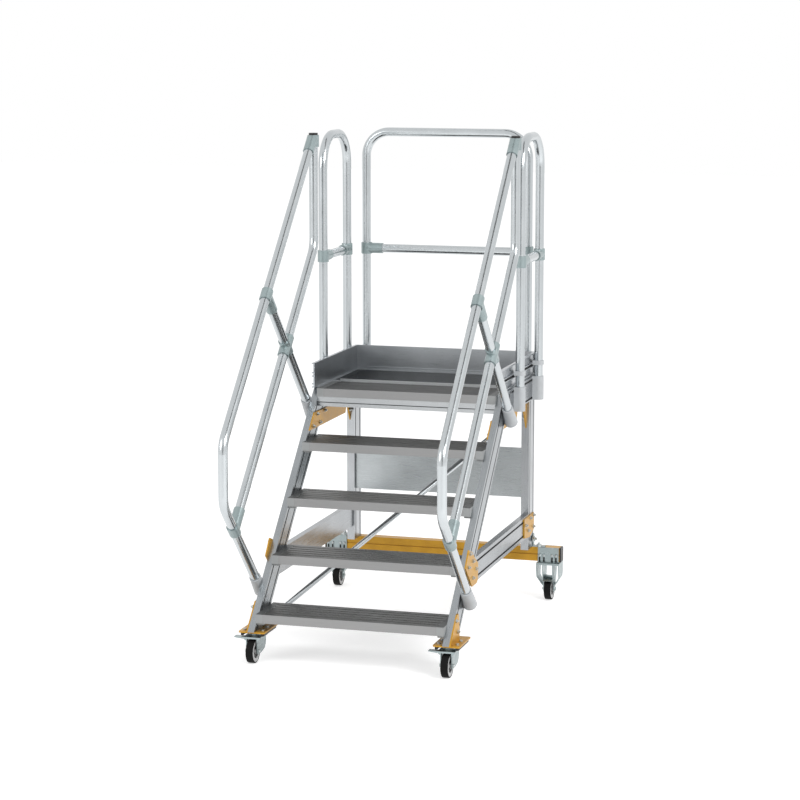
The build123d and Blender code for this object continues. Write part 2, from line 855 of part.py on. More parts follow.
race_bottom = (plate_bottom - head_plate + crown_top) / 2
with BuildPart() as heads:
    for side_name, side in sides:
        centre = Vector(side * profile_centre, axis_y, 0)
        with BuildSketch(Plane.XY.offset(plate_bottom - head_plate)):
            with Locations((centre.X, centre.Y)):
                RectangleRounded(2 * head_half, 2 * head_half, head_corner)
        extrude(amount=head_plate)
        with BuildSketch(Plane.XY.offset(pad_bottom)):
            with Locations((centre.X, centre.Y)):
                with GridLocations(2 * head_half - head_cheek, 1, 2, 1):
                    Rectangle(head_cheek, head_cheek_length)
        extrude(amount=plate_bottom - head_plate - pad_bottom)
        rod(centre + up * race_bottom, centre + up * (plate_bottom - head_plate), race_radius)
        rod(centre + up * (crown_bottom + 1.0), centre + up * race_bottom, kingpin_radius)
save(heads, "swivel_heads")

lever_front = axle_y - leg_front - lever_plate
for side_name, side in sides:
    x = side * profile_centre
    axis = Vector(x, axis_y, 0)
    with BuildPart() as fork:
        with BuildSketch(Plane.XZ.offset(leg_front - axle_y)):
            with BuildLine():
                Polyline(
                    (x - crown_half, crown_top),
                    (x - crown_half, crown_top - crown_side),
                    (x - shoulder_half, crown_top - crown_shoulder[1]),
                    (x - leg_outer, crown_top - crown_root),
                    (x - leg_inner, crown_top - crown_root),
                    (x - leg_inner, crown_bottom),
                    (x + leg_inner, crown_bottom),
                    (x + leg_inner, crown_top - crown_root),
                    (x + leg_outer, crown_top - crown_root),
                    (x + shoulder_half, crown_top - crown_shoulder[1]),
                    (x + crown_half, crown_top - crown_side),
                    (x + crown_half, crown_top),
                    close=True,
                )
            make_face()
        extrude(amount=axle_y - leg_front - axis_y - leg_rear[0][0])
        for leg_low in (leg_inner, -leg_outer):
            with BuildSketch(slab(x + leg_low)):
                with BuildLine():
                    Polyline(
                        (axle_y - leg_foot_radius, wheel_radius),
                        (axle_y - leg_front, crown_top),
                        *[(axis_y + place, crown_top - drop) for place, drop in leg_rear],
                        (axis_y - leg_toe, wheel_radius - leg_foot_radius),
                        (axle_y, wheel_radius - leg_foot_radius),
                        close=True,
                    )
                make_face()
                with Locations((axle_y, wheel_radius)):
                    Circle(leg_foot_radius)
            extrude(amount=fork_wall)
        rod(axis + up * crown_top, axis + up * (race_bottom - race_gap), fork_boss_radius)
        rod(axis + up * (crown_bottom - 1.0), axis + up * race_bottom, kingpin_radius + pin_gap, Mode.SUBTRACT)
        axle = Vector(x, axle_y, wheel_radius)
        half_axle = Vector(leg_outer + axle_overhang, 0, 0)
        rod(axle - half_axle, axle + half_axle, axle_radius)
    save(fork, f"castor_fork_{side_name}")
    with BuildPart() as lever:
        with BuildSketch(Plane.XZ.offset(-lever_front)):
            with BuildLine():
                Polyline(
                    (x + crown_half, crown_bottom),
                    (x + crown_half, crown_top),
                    (x - crown_half, crown_top),
                    (x - crown_half, crown_bottom),
                    close=True,
                )
            make_face()
        extrude(amount=-lever_plate)
        with BuildSketch(Plane.XZ.offset(-lever_front)):
            with BuildLine():
                Polyline(
                    (x - crown_half, crown_top),
                    (x - lever_reach, crown_top),
                    (x - lever_reach, crown_top - lever_thickness),
                    (x - crown_half, crown_top - lever_root),
                    close=True,
                )
            make_face()
        extrude(amount=-lever_width)
    save(lever, f"brake_lever_{side_name}")


def wheel(label, x, y):
    """Tyre and hub, centred at x and y and standing on the floor."""
    centre = Vector(x, y, wheel_radius)
    rim_radius = wheel_radius - tyre_depth
    half_rim = wheel_width / 2 - rim_inset
    with BuildPart() as tyre:
        with BuildSketch(Plane.XZ.offset(-y)) as section:
            with Locations((x, wheel_radius + rim_radius)):
                Rectangle(wheel_width, tyre_depth, align=(Align.CENTER, Align.MIN))
            fillet(section.vertices().group_by(Axis.Y)[-1], tyre_edge)
        revolve(axis=Axis(centre, (1, 0, 0)))
    save(tyre, f"tyre_{label}")
    with BuildPart() as hub:
        with BuildSketch(Plane.XZ.offset(-y)):
            with BuildLine():
                Polyline(
                    (x - half_hub, wheel_radius + axle_radius + pin_gap),
                    (x - half_hub, wheel_radius + hub_boss_radius),
                    (x - half_hub + hub_recess, wheel_radius + hub_boss_radius),
                    (x - half_hub + hub_recess, wheel_radius + rim_bore),
                    (x - half_rim, wheel_radius + rim_bore),
                    (x - half_rim, wheel_radius + rim_radius),
                    (x + half_rim, wheel_radius + rim_radius),
                    (x + half_rim, wheel_radius + rim_bore),
                    (x + half_hub - hub_recess, wheel_radius + rim_bore),
                    (x + half_hub - hub_recess, wheel_radius + hub_boss_radius),
                    (x + half_hub, wheel_radius + hub_boss_radius),
                    (x + half_hub, wheel_radius + axle_radius + pin_gap),
                    close=True,
                )
            make_face()
        revolve(axis=Axis(centre, (1, 0, 0)))
    save(hub, f"hub_{label}")


for side_name, side in sides:
    wheel(f"front_{side_name}", side * profile_centre, axle_y)
    wheel(f"rear_{side_name}", side * rear_wheel_x, rear_wheel_y)

# Rear castors: saddles round the cross beam and fixed forks
with BuildPart() as saddles:
    for side_name, side in sides:
        with BuildSketch(slab(side * rear_wheel_x - saddle_width / 2)):
            with Locations((rear_wheel_y, beam_bottom - saddle_wall)):
                Rectangle(
                    beam_depth + 2 * saddle_wall, saddle_height + saddle_wall,
                    align=(Align.CENTER, Align.MIN),
                )
            with Locations((rear_wheel_y, beam_bottom)):
                Rectangle(beam_depth, beam_height, align=(Align.CENTER, Align.MIN), mode=Mode.SUBTRACT)
        extrude(amount=saddle_width)
    with BuildSketch(Plane.XZ.offset(-rear_wheel_y)):
        with Locations((0, beam_bottom + saddle_height)):
            with GridLocations(2 * rear_wheel_x, 1, 2, 1):
                RectangleRounded(saddle_width, 4 * saddle_height, saddle_corner)
    extrude(amount=beam_depth, both=True, mode=Mode.INTERSECT)
save(saddles, "beam_saddles")

fork_top = beam_bottom - saddle_wall
rear_fork_half = leg_outer + rear_fork_corners[0][0]
rear_pocket_half = leg_outer + rear_pocket_corners[0][0]
plate_low = fork_top - rear_fork_plate
arch_inner = wheel_radius + arch_gap
arch_side = 2 * wheel_radius * sin(radians(arch_half_angle))
arch_rise = 2 * wheel_radius * cos(radians(arch_half_angle))
with BuildPart() as rear_forks:
    for side_name, side in sides:
        x = side * rear_wheel_x
        with BuildSketch(Plane.XZ.offset(rear_fork_depth / 2 - rear_wheel_y)):
            with BuildLine():
                Polyline(
                    (x - rear_fork_half, fork_top),
                    *[(x - leg_outer - beside, wheel_radius + z) for beside, z in rear_fork_corners],
                    (x - leg_outer, wheel_radius - leg_foot_radius),
                    (x + leg_outer, wheel_radius - leg_foot_radius),
                    *[(x + leg_outer + beside, wheel_radius + z) for beside, z in rear_fork_corners[::-1]],
                    (x + rear_fork_half, fork_top),
                    close=True,
                )
            make_face()
            with Locations((x, plate_low)):
                Rectangle(2 * leg_inner, plate_low, align=(Align.CENTER, Align.MAX), mode=Mode.SUBTRACT)
            for turn in (-1, 1):
                with BuildLine():
                    Polyline(
                        (x + turn * leg_outer, plate_low),
                        (x + turn * rear_pocket_half, plate_low),
                        *[(x + turn * (leg_outer + beside), wheel_radius + z) for beside, z in rear_pocket_corners],
                        close=True,
                    )
                make_face(mode=Mode.SUBTRACT)
        extrude(amount=-rear_fork_depth)
        for end in (-1, 1):
            with BuildSketch(slab(x - rear_fork_half)):
                with BuildLine():
                    Polyline(
                        (rear_wheel_y + end * rear_fork_depth / 2, fork_top - rear_taper),
                        (rear_wheel_y + end * rear_leg_half, wheel_radius),
                        (rear_wheel_y + end * rear_leg_half, 0),
                        (rear_wheel_y + end * rear_fork_depth / 2, 0),
                        close=True,
                    )
                make_face()
            extrude(amount=2 * rear_fork_half, mode=Mode.SUBTRACT)
        with BuildSketch(slab(x - leg_inner)):
            with Locations((rear_wheel_y, wheel_radius)):
                Circle(arch_inner + arch_wall)
                Circle(arch_inner, mode=Mode.SUBTRACT)
            with BuildLine():
                Polyline(
                    (rear_wheel_y, wheel_radius),
                    (rear_wheel_y + arch_side, wheel_radius + arch_rise),
                    (rear_wheel_y - arch_side, wheel_radius + arch_rise),
                    close=True,
                )
            make_face(mode=Mode.INTERSECT)
        extrude(amount=2 * leg_inner)
        axle = Vector(x, rear_wheel_y, wheel_radius)
        half_axle = Vector(leg_outer + axle_overhang, 0, 0)
        rod(axle - half_axle, axle + half_axle, axle_radius)
save(rear_forks, "rear_castor_forks")
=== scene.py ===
"""Finish of the mobile platform stairs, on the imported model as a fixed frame.

Metres, origin on the floor under the middle of the stairs, +Z up, the stair climbs towards +Y.
"""
import json
import math

import bmesh
import bpy
import numpy as np
from mathutils import Matrix, Vector


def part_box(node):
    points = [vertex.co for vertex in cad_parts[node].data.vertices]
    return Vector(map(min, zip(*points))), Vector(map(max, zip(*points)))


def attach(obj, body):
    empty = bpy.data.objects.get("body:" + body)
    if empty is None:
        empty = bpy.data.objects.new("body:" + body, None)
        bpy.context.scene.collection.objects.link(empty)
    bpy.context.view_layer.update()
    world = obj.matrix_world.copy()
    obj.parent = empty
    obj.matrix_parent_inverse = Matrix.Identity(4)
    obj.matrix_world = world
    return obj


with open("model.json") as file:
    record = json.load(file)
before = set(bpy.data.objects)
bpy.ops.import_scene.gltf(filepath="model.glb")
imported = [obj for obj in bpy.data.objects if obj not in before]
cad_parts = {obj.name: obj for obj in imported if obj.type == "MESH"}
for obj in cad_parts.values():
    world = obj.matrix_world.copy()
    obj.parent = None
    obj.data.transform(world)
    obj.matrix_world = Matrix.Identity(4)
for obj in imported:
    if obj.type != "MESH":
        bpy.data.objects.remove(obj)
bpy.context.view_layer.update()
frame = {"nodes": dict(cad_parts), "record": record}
nodes = frame["nodes"]
sides = (("left", -1), ("right", 1))


# Camera
camera_place = Vector((3.0562, -10.3147, 2.7179))
camera_right = Vector((0.95958, 0.28144, 0.0))
camera_up = Vector((-0.04356, 0.14851, 0.98795))
camera_back = Vector((0.27805, -0.94802, 0.15477))
camera_lens = 113.55

camera_data = bpy.data.cameras.new("camera")
camera_data.lens = camera_lens
camera_data.sensor_width = 36.0
camera_data.clip_end = 100.0
camera = bpy.data.objects.new("camera", camera_data)
camera.matrix_world = Matrix((
    (camera_right.x, camera_up.x, camera_back.x, camera_place.x),
    (camera_right.y, camera_up.y, camera_back.y, camera_place.y),
    (camera_right.z, camera_up.z, camera_back.z, camera_place.z),
    (0.0, 0.0, 0.0, 1.0),
))
bpy.context.scene.collection.objects.link(camera)
bpy.context.scene.camera = camera
bpy.context.scene.view_settings.view_transform = "Standard"


# Materials
class Finish:
    """A material with its Principled shader and short ways to add nodes to it."""

    def __init__(self, name, colour, metallic, roughness, specular=0.5):
        self.material = bpy.data.materials.new(name)
        self.material.use_nodes = True
        self.tree = self.material.node_tree
        self.shader = self.tree.nodes["Principled BSDF"]
        self.shader.inputs["Base Color"].default_value = (*colour, 1.0)
        self.shader.inputs["Metallic"].default_value = metallic
        self.shader.inputs["Roughness"].default_value = roughness
        self.shader.inputs["Specular IOR Level"].default_value = specular
        self.bump = None

    def node(self, kind, **inputs):
        """A new node with its inputs set to numbers or linked to other nodes' outputs."""
        made = self.tree.nodes.new(kind)
        for key, value in inputs.items():
            self.put(made.inputs[key.replace("_", " ")], value)
        return made

    def put(self, socket, value):
        """Sets a socket, or links it when the value is an output."""
        if isinstance(value, bpy.types.NodeSocket):
            self.tree.links.new(value, socket)
        else:
            socket.default_value = value

    def place(self, stretch=(1.0, 1.0, 1.0), direction=(0.0, 0.0, 1.0)):
        """Object coordinates for a pattern that is stretched along its axes.

        The pattern's Z axis is laid along a direction.
        """
        coordinates = self.node("ShaderNodeTexCoord")
        mapping = self.node("ShaderNodeMapping", Vector=coordinates.outputs["Object"])
        mapping.vector_type = "TEXTURE"
        turn = Vector((0.0, 0.0, 1.0)).rotation_difference(Vector(direction))
        mapping.inputs["Rotation"].default_value = turn.to_euler()
        mapping.inputs["Scale"].default_value = stretch
        return mapping.outputs["Vector"]

    def noise(self, size, detail=4.0, **laid):
        """Noise with features of about this size in metres before it is stretched."""
        made = self.node("ShaderNodeTexNoise", Vector=self.place(**laid), Scale=1.0 / size, Detail=detail)
        return made.outputs["Fac"]

    def between(self, value, low, high, start=0.0, end=1.0):
        """The value's range from start to end, carried over to low and high."""
        made = self.node("ShaderNodeMapRange", Value=value)
        made.inputs["From Min"].default_value = start
        made.inputs["From Max"].default_value = end
        made.inputs["To Min"].default_value = low
        made.inputs["To Max"].default_value = high
        return made.outputs["Result"]

    def mixed(self, share, first, second):
        """First colour where the share is 0 and second where it is 1."""
        made = self.tree.nodes.new("ShaderNodeMix")
        made.data_type = "RGBA"
        factor, first_socket, second_socket = made.inputs[0], made.inputs[6], made.inputs[7]
        self.put(factor, share)
        self.put(first_socket, first)
        self.put(second_socket, second)
        return made.outputs[2]

    def coloured(self, share, first, second):
        """Base colour that varies between two colours."""
        colours = [
            colour if isinstance(colour, bpy.types.NodeSocket) else (*colour, 1.0) for colour in (first, second)
        ]
        self.put(self.shader.inputs["Base Color"], self.mixed(share, *colours))
        return self

    def rough(self, share, low, high):
        """Roughness that varies between two values."""
        self.put(self.shader.inputs["Roughness"], self.between(share, low, high, 0.3, 0.7))
        return self

    def bumped(self, height, strength, distance=0.0002):
        """Adds a height to the surface's bump."""
        made = self.node("ShaderNodeBump", Height=height, Strength=strength, Distance=distance)
        if self.bump:
            self.tree.links.new(self.bump, made.inputs["Normal"])
        self.bump = made.outputs["Normal"]
        self.tree.links.new(self.bump, self.shader.inputs["Normal"])
        return self


def drawn_aluminium(name, colour, direction, roughness=(0.24, 0.36)):
    """Bare aluminium with fine lines along one direction and a faint cloudy bloom."""
    finish = Finish(name, colour, 1.0, 0.3)
    lines = finish.noise(0.0012, 3.0, stretch=(1.0, 1.0, 100.0), direction=direction)
    cloud = finish.noise(0.12)
    pale = tuple(min(1.0, c * 1.05) for c in colour)
    deep = tuple(c * 0.92 for c in colour)
    finish.coloured(finish.between(cloud, 0.0, 1.0, 0.3, 0.7), deep, pale)
    finish.rough(lines, *roughness)
    finish.bumped(lines, 0.06)
    return finish.material


def satin_tube(name, colour):
    """Tube with a fine grain that has no direction, and a faint cloudy bloom."""
    finish = Finish(name, colour, 1.0, 0.25)
    grain = finish.noise(0.004, 2.0)
    cloud = finish.noise(0.09)
    finish.coloured(finish.between(cloud, 0.0, 1.0, 0.3, 0.7), tuple(c * 0.94 for c in colour), colour)
    finish.rough(cloud, 0.19, 0.25)
    finish.bumped(grain, 0.002, 0.0001)
    return finish.material


def painted_shade_on_top(name, face, top, direction, roughness, metallic=1.0, edge=1.0, border=None):
    """Extrusion or moulding whose upward faces get a darker colour than its front as painted shade, with lighter
    scuffs of wear.

    The edge is how much is left of the gloss at a flat angle. A border is another colour of the
    upward faces, from this distance to the middle outwards.
    """
    finish = Finish(name, face, metallic, 0.4)
    finish.shader.inputs["Specular Tint"].default_value = (edge, edge, edge, 1.0)
    lines = finish.noise(0.0015, 3.0, stretch=(1.0, 1.0, 120.0), direction=direction)
    scuffs = finish.noise(0.035, 8.0, stretch=(1.0, 1.0, 2.8), direction=direction)
    normal = finish.node("ShaderNodeNewGeometry").outputs["Normal"]
    height = finish.node("ShaderNodeSeparateXYZ", Vector=normal).outputs["Z"]
    # Painted shade: faces that look up get the darker top colour; only the lighter scuffs in it are wear.
    upward_painted_shade = finish.between(height, 0.0, 1.0, 0.35, 0.8)
    scuffed = tuple(c * 1.25 for c in top)
    painted_shade_and_scuffs = finish.mixed(finish.between(scuffs, 0.0, 1.0, 0.35, 0.7), (*top, 1.0), (*scuffed, 1.0))
    if border:
        border_colour, border_start = border
        across = finish.node("ShaderNodeSeparateXYZ", Vector=finish.place()).outputs["X"]
        distance = finish.node("ShaderNodeMath")
        distance.operation = "ABSOLUTE"
        finish.put(distance.inputs[0], across)
        outside = finish.between(distance.outputs[0], 0.0, 1.0, border_start - 0.0005, border_start + 0.0005)
        painted_shade_and_scuffs = finish.mixed(outside, painted_shade_and_scuffs, (*border_colour, 1.0))
    finish.coloured(upward_painted_shade, face, painted_shade_and_scuffs)
    finish.rough(lines, *roughness)
    finish.bumped(lines, 0.15)
    finish.bumped(scuffs, 0.05)
    return finish.material


def painted(name, colour, shade, roughness, peel=0.0018, strength=0.08, metallic=0.0, specular=0.5):
    """Coated metal: an even colour with a fine orange peel and a slow drift in tone."""
    finish = Finish(name, colour, metallic, roughness, specular)
    drift = finish.noise(0.05)
    peel_height = finish.noise(peel, detail=2.0)
    finish.coloured(finish.between(drift, 0.0, 1.0, 0.35, 0.65), shade, colour)
    finish.rough(drift, roughness * 0.85, roughness * 1.15)
    finish.bumped(peel_height, strength)
    return finish.material


def moulded(name, colour, roughness, grain=0.0009, strength=0.15):
    """Moulded plastic with a fine eroded grain."""
    finish = Finish(name, colour, 0.0, roughness, 0.45)
    speck = finish.noise(grain, detail=2.0)
    cloud = finish.noise(0.03)
    finish.coloured(finish.between(cloud, 0.0, 1.0, 0.3, 0.7), tuple(c * 0.9 for c in colour), colour)
    finish.rough(cloud, roughness * 0.9, roughness * 1.1)
    finish.bumped(speck, strength)
    return finish.material


def rubber(name, colour):
    """Solid rubber, dull and dusty in patches."""
    finish = Finish(name, colour, 0.0, 0.6, 0.15)
    speck = finish.noise(0.0012, detail=6.0)
    dust = finish.noise(0.02, detail=8.0)
    finish.coloured(finish.between(dust, 0.0, 1.0, 0.45, 0.8), colour, tuple(c * 2.0 + 0.002 for c in colour))
    finish.rough(dust, 0.5, 0.75)
    finish.bumped(speck, 0.2)
    return finish.material


def zinc(name, colour):
    """Zinc plate with its faint blue tone and small crystals."""
    finish = Finish(name, colour, 1.0, 0.35)
    crystals = finish.node("ShaderNodeTexVoronoi", Vector=finish.place(), Scale=450.0)
    tone = finish.between(crystals.outputs["Distance"], 0.0, 1.0)
    cloud = finish.noise(0.02)
    finish.coloured(tone, tuple(c * 0.9 for c in colour), colour)
    finish.rough(cloud, 0.24, 0.42)
    finish.bumped(tone, 0.03)
    return finish.material


along_x, along_y, along_z = (1, 0, 0), (0, 1, 0), (0, 0, 1)
stair_run = (0, 1, 1)
deck_seam_x = 0.364
tube = satin_tube("drawn_tube", (0.55, 0.58, 0.595))
stringer_metal = drawn_aluminium("stringer_profile", (0.35, 0.37, 0.385), stair_run)
side_metal = drawn_aluminium("side_profile", (0.35, 0.365, 0.38), along_y)
post_metal = drawn_aluminium("post_profile", (0.43, 0.445, 0.46), along_z)
front_metal = drawn_aluminium("front_profile", (0.44, 0.455, 0.465), along_x)
# Where a finish below has a top colour, that colour is painted shade on its upward faces.
tread_metal = painted_shade_on_top("tread_ribs", (0.29, 0.29, 0.29), (0.145, 0.145, 0.142), along_x, (0.34, 0.48))
platform_tread_metal = painted_shade_on_top(
    "platform_tread", (0.29, 0.29, 0.29), (0.062, 0.062, 0.062), along_x, (0.34, 0.48), edge=0.75,
)
deck_metal = painted_shade_on_top(
    "deck_sheet", (0.38, 0.39, 0.40), (0.075, 0.078, 0.080), along_x, (0.15, 0.22),
    edge=0.45, border=((0.16, 0.165, 0.17), deck_seam_x),
)
lip_metal = painted_shade_on_top("lip_profile", (0.75, 0.77, 0.78), (0.26, 0.27, 0.275), along_x, (0.3, 0.4))
board_metal = drawn_aluminium("board_sheet", (0.46, 0.48, 0.50), along_x, (0.26, 0.36))
panel_metal = drawn_aluminium("panel_sheet", (0.42, 0.445, 0.455), along_x, (0.24, 0.34))
cap_plastic = painted_shade_on_top(
    "cap_plastic", (0.32, 0.33, 0.33), (0.055, 0.057, 0.057), along_x, (0.4, 0.5), metallic=0.0,
)
yellow = painted("yellow_coat", (0.56, 0.295, 0.024), (0.49, 0.25, 0.018), 0.34, metallic=0.35, specular=0.4)
clamp_cast = painted("cast_clamp", (0.32, 0.385, 0.39), (0.28, 0.34, 0.345), 0.3, 0.0012, 0.06, 0.5)
socket_plastic = moulded("socket_plastic", (0.50, 0.52, 0.535), 0.42)
black_plastic = moulded("black_plastic", (0.012, 0.012, 0.012), 0.42)
slot_shadow = moulded("slot_shadow", (0.006, 0.006, 0.006), 0.8)
shallow_shadow = moulded("shallow_shadow", (0.11, 0.115, 0.12), 0.8)
zinc_plate = zinc("zinc_plate", (0.34, 0.395, 0.40))
bolt_zinc = zinc("bolt_zinc", (0.50, 0.53, 0.53))
tyre_rubber = rubber("tyre_rubber", (0.003, 0.003, 0.003))
rim_plastic = moulded("rim_plastic", (0.50, 0.50, 0.50), 0.4)

finishes = {
    "tube": tube, "profile": side_metal, "tread": tread_metal, "sheet": board_metal, "end_cap": cap_plastic,
    "bracket": yellow, "clamp": clamp_cast, "socket": socket_plastic, "black_plastic": black_plastic,
    "zinc": zinc_plate, "tyre": tyre_rubber, "rim": rim_plastic,
}
special = {
    "stringer_left": stringer_metal, "stringer_right": stringer_metal, "rear_post_left": post_metal,
    "rear_post_right": post_metal, "platform_front_beam": front_metal, "platform_rear_profile": lip_metal,
    "deck": deck_metal, "deck_joint_strip": lip_metal, "rear_panel": panel_metal,
    "platform_front_tread": platform_tread_metal,
}
slot_of = {part["node"]: part["material_slot"] for part in frame["record"]["subparts"]}
for name, node in nodes.items():
    node.data.materials.clear()
    node.data.materials.append(special.get(name, finishes[slot_of[name]]))


# Surfaces
def surface(name, grids, body, material, smooth=True):
    """Puts grids of points into one mesh of quads, each grid closed along its columns.

    A row whose points all meet is a pole, and the doubled points there are merged.
    """
    quads, start = [], 0
    for grid in grids:
        rows, columns = grid.shape[:2]
        index = start + np.arange(rows * columns).reshape(rows, columns)
        index = np.hstack([index, index[:, :1]])
        quads.append(np.stack([index[:-1, :-1], index[1:, :-1], index[1:, 1:], index[:-1, 1:]], -1).reshape(-1, 4))
        start += rows * columns
    points = np.concatenate([grid.reshape(-1, 3) for grid in grids])
    mesh = bpy.data.meshes.new(name)
    mesh.from_pydata(points.tolist(), [], np.concatenate(quads).tolist())
    mesh.materials.append(material)
    clean(mesh, smooth)
    piece = bpy.data.objects.new(name, mesh)
    bpy.context.scene.collection.objects.link(piece)
    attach(piece, body)
    return piece


def clean(mesh, smooth):
    """Merges doubled points, turns the faces outwards and smooths them."""
    work = bmesh.new()
    work.from_mesh(mesh)
    bmesh.ops.remove_doubles(work, verts=work.verts, dist=1e-6)
    bmesh.ops.dissolve_degenerate(work, edges=work.edges, dist=1e-7)
    bmesh.ops.recalc_face_normals(work, faces=work.faces)
    work.to_mesh(mesh)
    work.free()
    mesh.polygons.foreach_set("use_smooth", [smooth] * len(mesh.polygons))


def basis(axis):
    """Two directions square to an axis and to each other."""
    axis = np.asarray(axis, float) / np.linalg.norm(axis)
    helper = np.array([0.0, 0.0, 1.0]) if abs(axis[2]) < 0.9 else np.array([1.0, 0.0, 0.0])
    first = np.cross(helper, axis)
    first /= np.linalg.norm(first)
    return axis, first, np.cross(axis, first)


def turned(profile, place, axis, around=40, corners=0):
    """Profile of (height, radius) pairs carried round an axis at a place.

    With corners the section is a polygon: the radius at each turn is multiplied by
    cos(pi / n) / cos(the turn from the middle of the nearest side), where n is the number of corners.
    """
    axis, first, second = basis(axis)
    turn = np.linspace(0.0, 2 * np.pi, around, endpoint=False)
    spread = np.ones(around)
    if corners:
        half = np.pi / corners
        spread = np.cos(half) / np.cos((turn % (2 * half)) - half)
    height, radius = np.array(profile, float).T
    ring = np.cos(turn)[:, None] * first + np.sin(turn)[:, None] * second
    flat = radius[:, None, None] * (ring * spread[:, None])[None]
    return np.asarray(place, float) + height[:, None, None] * axis + flat


def hexagon_bolt(place, axis, size):
    """Hexagon head with a washer under it: a stack of rings, the head's rings six-sided with a round chamfer."""
    washer = turned([(0, 0), (0, size * 1.15), (size * 0.16, size * 1.15), (size * 0.16, 0)], place, axis, 36)
    head = turned(
        [
            (size * 0.16, 0), (size * 0.16, size), (size * 0.72, size), (size * 0.85, size * 0.86),
            (size * 0.85, 0),
        ],
        place, axis, 36, 6,
    )
    return np.concatenate([washer, head])


def nut_and_thread(place, axis, size):
    """Nut on its washer with the bolt's end standing out of it: a rod with a chamfered end."""
    thread = turned(
        [(size * 0.85, 0), (size * 0.85, size * 0.52), (size * 1.42, size * 0.52), (size * 1.5, size * 0.42),
         (size * 1.5, 0)],
        place, axis, 36,
    )
    return np.concatenate([hexagon_bolt(place, axis, size), thread])


def dome_bolt(place, axis, size):
    """Button head: a quarter of an ellipse turned round the axis, with a six-sided socket pressed in."""
    bend = np.linspace(0.0, np.pi / 2, 7)
    shell = [(0, size)] + [(size * 0.55 * math.sin(a), size * (0.42 + 0.58 * math.cos(a))) for a in bend]
    outer = turned([(0, 0)] + shell, place, axis, 36)
    socket = turned([(size * 0.55, size * 0.40), (size * 0.2, size * 0.38), (size * 0.2, 0)], place, axis, 36, 6)
    return np.concatenate([outer, socket])


def bead(place, outward, along, half_width, half_length, height):
    """Pressed bead: a slot's outline, drawn in by a third while it rises by a quarter of a sine.

    The outline is a circle whose upper half is moved up and whose lower half is moved down.
    """
    outward, along = np.asarray(outward, float), np.asarray(along, float)
    beside = np.cross(along, outward)
    turn = np.linspace(0.0, 2 * np.pi, 48, endpoint=False) + np.pi / 48
    across = half_width * np.cos(turn)
    length = half_width * np.sin(turn) + (half_length - half_width) * np.sign(np.sin(turn))
    outline = across[:, None] * beside + length[:, None] * along
    climb = np.linspace(0.0, np.pi / 2, 6)
    drawn = np.concatenate([[0.0], 1.0 - np.sin(climb) / 3, [0.0]])
    lift = np.concatenate([[0.0], height * np.sin(climb), [height]])
    return np.asarray(place, float) + drawn[:, None, None] * outline + lift[:, None, None] * outward


def strip(start, end, outward, width, thickness=0.0004):
    """Flat strip: a rectangle carried along a straight line and closed at both ends."""
    start, end, outward = (np.asarray(item, float) for item in (start, end, outward))
    beside = np.cross(end - start, outward)
    beside *= width / 2 / np.linalg.norm(beside)
    lift = outward * thickness
    ring = np.stack([beside, beside + lift, lift - beside, -beside])
    middle = np.repeat(ring.mean(0)[None], 4, 0)
    return np.stack([start + middle, start + ring, end + ring, end + middle])


def bolts(name, places, axis, size, body, kind=hexagon_bolt):
    """The same bolt at several places, as one piece."""
    return surface(name, [kind(place, axis, size) for place in places], body, bolt_zinc, False)


# Bolts and nuts
first_nose = -0.64885
plate_face = 0.4405
stair_gusset_face = 0.4005
post_gusset_face = 0.4165
bracket_face, bracket_floor_x, bracket_y = 0.4395, 0.4685, 1.432
base_plate_top = 0.135
front_wheel_x, front_wheel_y = 0.4205, 0.003
rear_wheel_x, rear_wheel_y = 0.511, 1.4665
wheel_centre = 0.05
fork_face = 0.0255
bolt_size, bracket_bolt_size, axle_nut_size, saddle_screw_size = 0.0075, 0.0125, 0.008, 0.0058

joint_bolts = ((0.341, 0.415), (0.266, 0.404), (0.392, 0.372), (0.338, 0.344), (0.292, 0.456))
rear_joint_bolts = ((1.288, 0.378), (1.334, 0.346), (1.372, 0.397), (1.437, 0.399), (1.431, 0.347))
stair_gusset_bolts = ((0.819, 0.928), (0.928, 0.928), (0.858, 0.885), (0.762, 0.882))
post_gusset_bolts = ((1.330, 0.905), (1.345, 0.865))
ear_bolts = ((0.096, 0.171), (0.070, 0.222))
base_plate_bolts = [(x, y) for x in (-0.039, 0.039) for y in (0.018, 0.078)]

saddle_faces = ((-1, 1.437), (1, 1.496))
saddle_columns = (-0.040, -0.0195, 0.0185, 0.037)
bead_z, bead_half_width, bead_half_length, bead_height = 0.199, 0.0078, 0.0205, 0.0018
# Painted shade: flat black marks on the saddle's beads under the screws.
shade_mark_z, shade_mark_half_width, shade_mark_half_length, shade_mark_height = 0.1925, 0.0040, 0.0115, 0.0002
screw_z, screw_seat = 0.2105, 0.0016


def at(x, y, z):
    """A place by its distance from the middle, behind the first nose and above the floor, in metres."""
    return (x, y + first_nose, z)


def plate_bolts(name, x, places, axis):
    """Nuts on one upright plate, at places behind the first nose and above the floor."""
    bolts(name, [at(x, y, z) for y, z in places], axis, bolt_size, "frame", nut_and_thread)


def axle_nuts(name, side, x, y, body):
    """A nut on each end of a wheel's axle, the outer and the inner one as two pieces."""
    for turn in (-1, 1):
        end = "outer" if turn == side else "inner"
        place = at(x + turn * fork_face, y, wheel_centre)
        bolts(f"{name}_{end}", [place], (turn, 0, 0), axle_nut_size, body)


